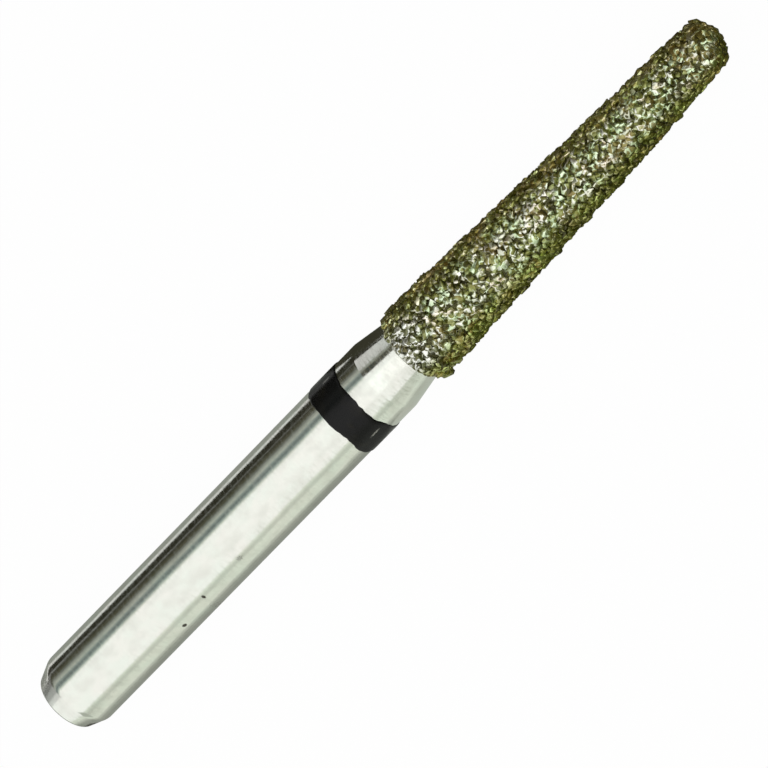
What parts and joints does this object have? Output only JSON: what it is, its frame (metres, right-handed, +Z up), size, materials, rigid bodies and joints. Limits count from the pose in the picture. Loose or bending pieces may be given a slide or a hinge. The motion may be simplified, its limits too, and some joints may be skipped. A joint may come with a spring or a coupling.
{
  "type": "dental bur",
  "caption": "Friction-grip dental bur with a plain steel shank, black band and long round-ended taper head coated with coarse diamond grit.",
  "frame": {"origin": "centre of the flat end face of the shank, on the bur's axis", "axes": "+X along the bur's axis from the shank to the tip, +Z up as it lies on a flat surface"},
  "size_m": [0.019, 0.0017, 0.0016],
  "materials": {
    "ground_steel": "fine ground, bright",
    "black_lacquer": "gloss",
    "diamond_in_nickel": "rough faceted grit"
  },
  "bodies": {
    "root": {"steel_blank": "ground_steel", "colour_band": "black_lacquer", "diamond_coat": "diamond_in_nickel"}
  },
  "joints": []
}
